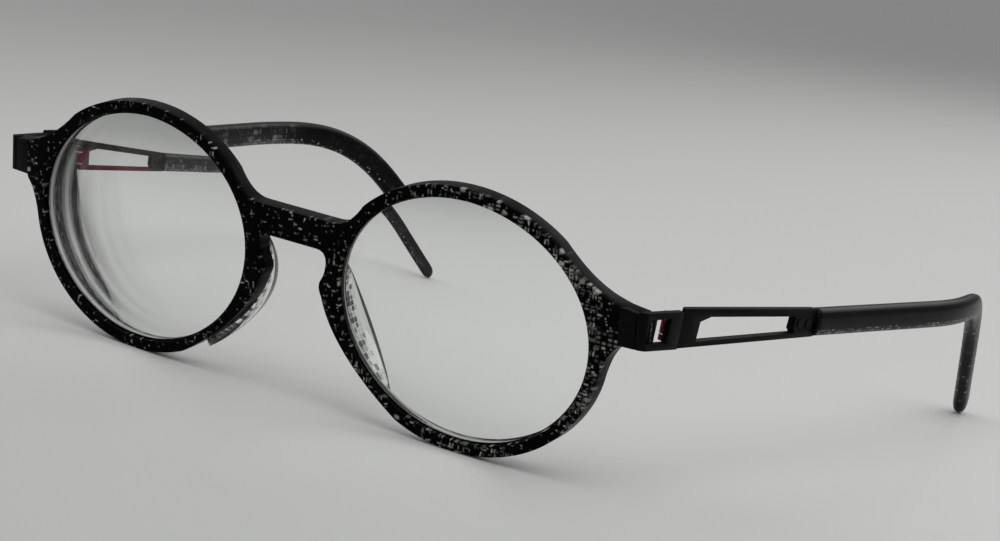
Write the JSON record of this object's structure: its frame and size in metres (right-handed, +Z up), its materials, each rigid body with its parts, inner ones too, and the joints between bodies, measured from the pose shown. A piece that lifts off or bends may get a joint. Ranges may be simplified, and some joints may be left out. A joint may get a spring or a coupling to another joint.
{
  "type": "round eyeglasses",
  "caption": "Round eyeglasses with a patterned acetate front, clear lenses and nose pads, metal corner hinges, pierced metal temple arms and bent acetate ends.",
  "frame": {"origin": "on the surface that the glasses rest on, under the middle of their box", "axes": "+X to the wearer's left, +Y back along the temples, +Z up; both rims and both temple tips touch z = 0"},
  "size_m": [0.1592, 0.1584, 0.044],
  "materials": {
    "patterned_acetate": "glossy black acetate with a fine woven pattern of light dashes",
    "lens": "clear coated lens",
    "crystal_acetate": "clear acetate",
    "dark_metal": "satin black outside, dark burgundy inside",
    "screw_steel": "small slotted steel screws",
    "washer_nylon": "white nylon",
    "rivet_metal": "dark red satin",
    "wire_steel": "nickel silver wire",
    "sleeve_acetate": "dark smoky acetate with fine light streaks"
  },
  "bodies": {
    "front": {"front_frame": "patterned_acetate", "left_lens": "lens", "right_lens": "lens", "left_nose_pad": "crystal_acetate", "right_nose_pad": "crystal_acetate", "left_corner_bracket": "dark_metal", "right_corner_bracket": "dark_metal", "left_bracket_screws": "screw_steel", "right_bracket_screws": "screw_steel", "left_hinge_screw": "screw_steel", "right_hinge_screw": "screw_steel", "left_hinge_washers": "washer_nylon", "right_hinge_washers": "washer_nylon"},
    "left_temple": {"left_temple_arm": "dark_metal", "left_temple_rivets": "rivet_metal", "left_core_wire": "wire_steel", "left_temple_sleeve": "sleeve_acetate"},
    "right_temple": {"right_temple_arm": "dark_metal", "right_temple_rivets": "rivet_metal", "right_core_wire": "wire_steel", "right_temple_sleeve": "sleeve_acetate"}
  },
  "joints": [
    {"name": "left_temple_fold", "type": "hinge", "parent": "front", "child": "left_temple", "pos_m": [0.06424, -0.06412, 0.02827], "axis": [0.0275, -0.0075, 0.9996], "range_deg": [0, 94]},
    {"name": "right_temple_fold", "type": "hinge", "parent": "front", "child": "right_temple", "pos_m": [-0.06424, -0.06412, 0.02827], "axis": [0.0275, 0.0075, -0.9996], "range_deg": [0, 82]}
  ]
}
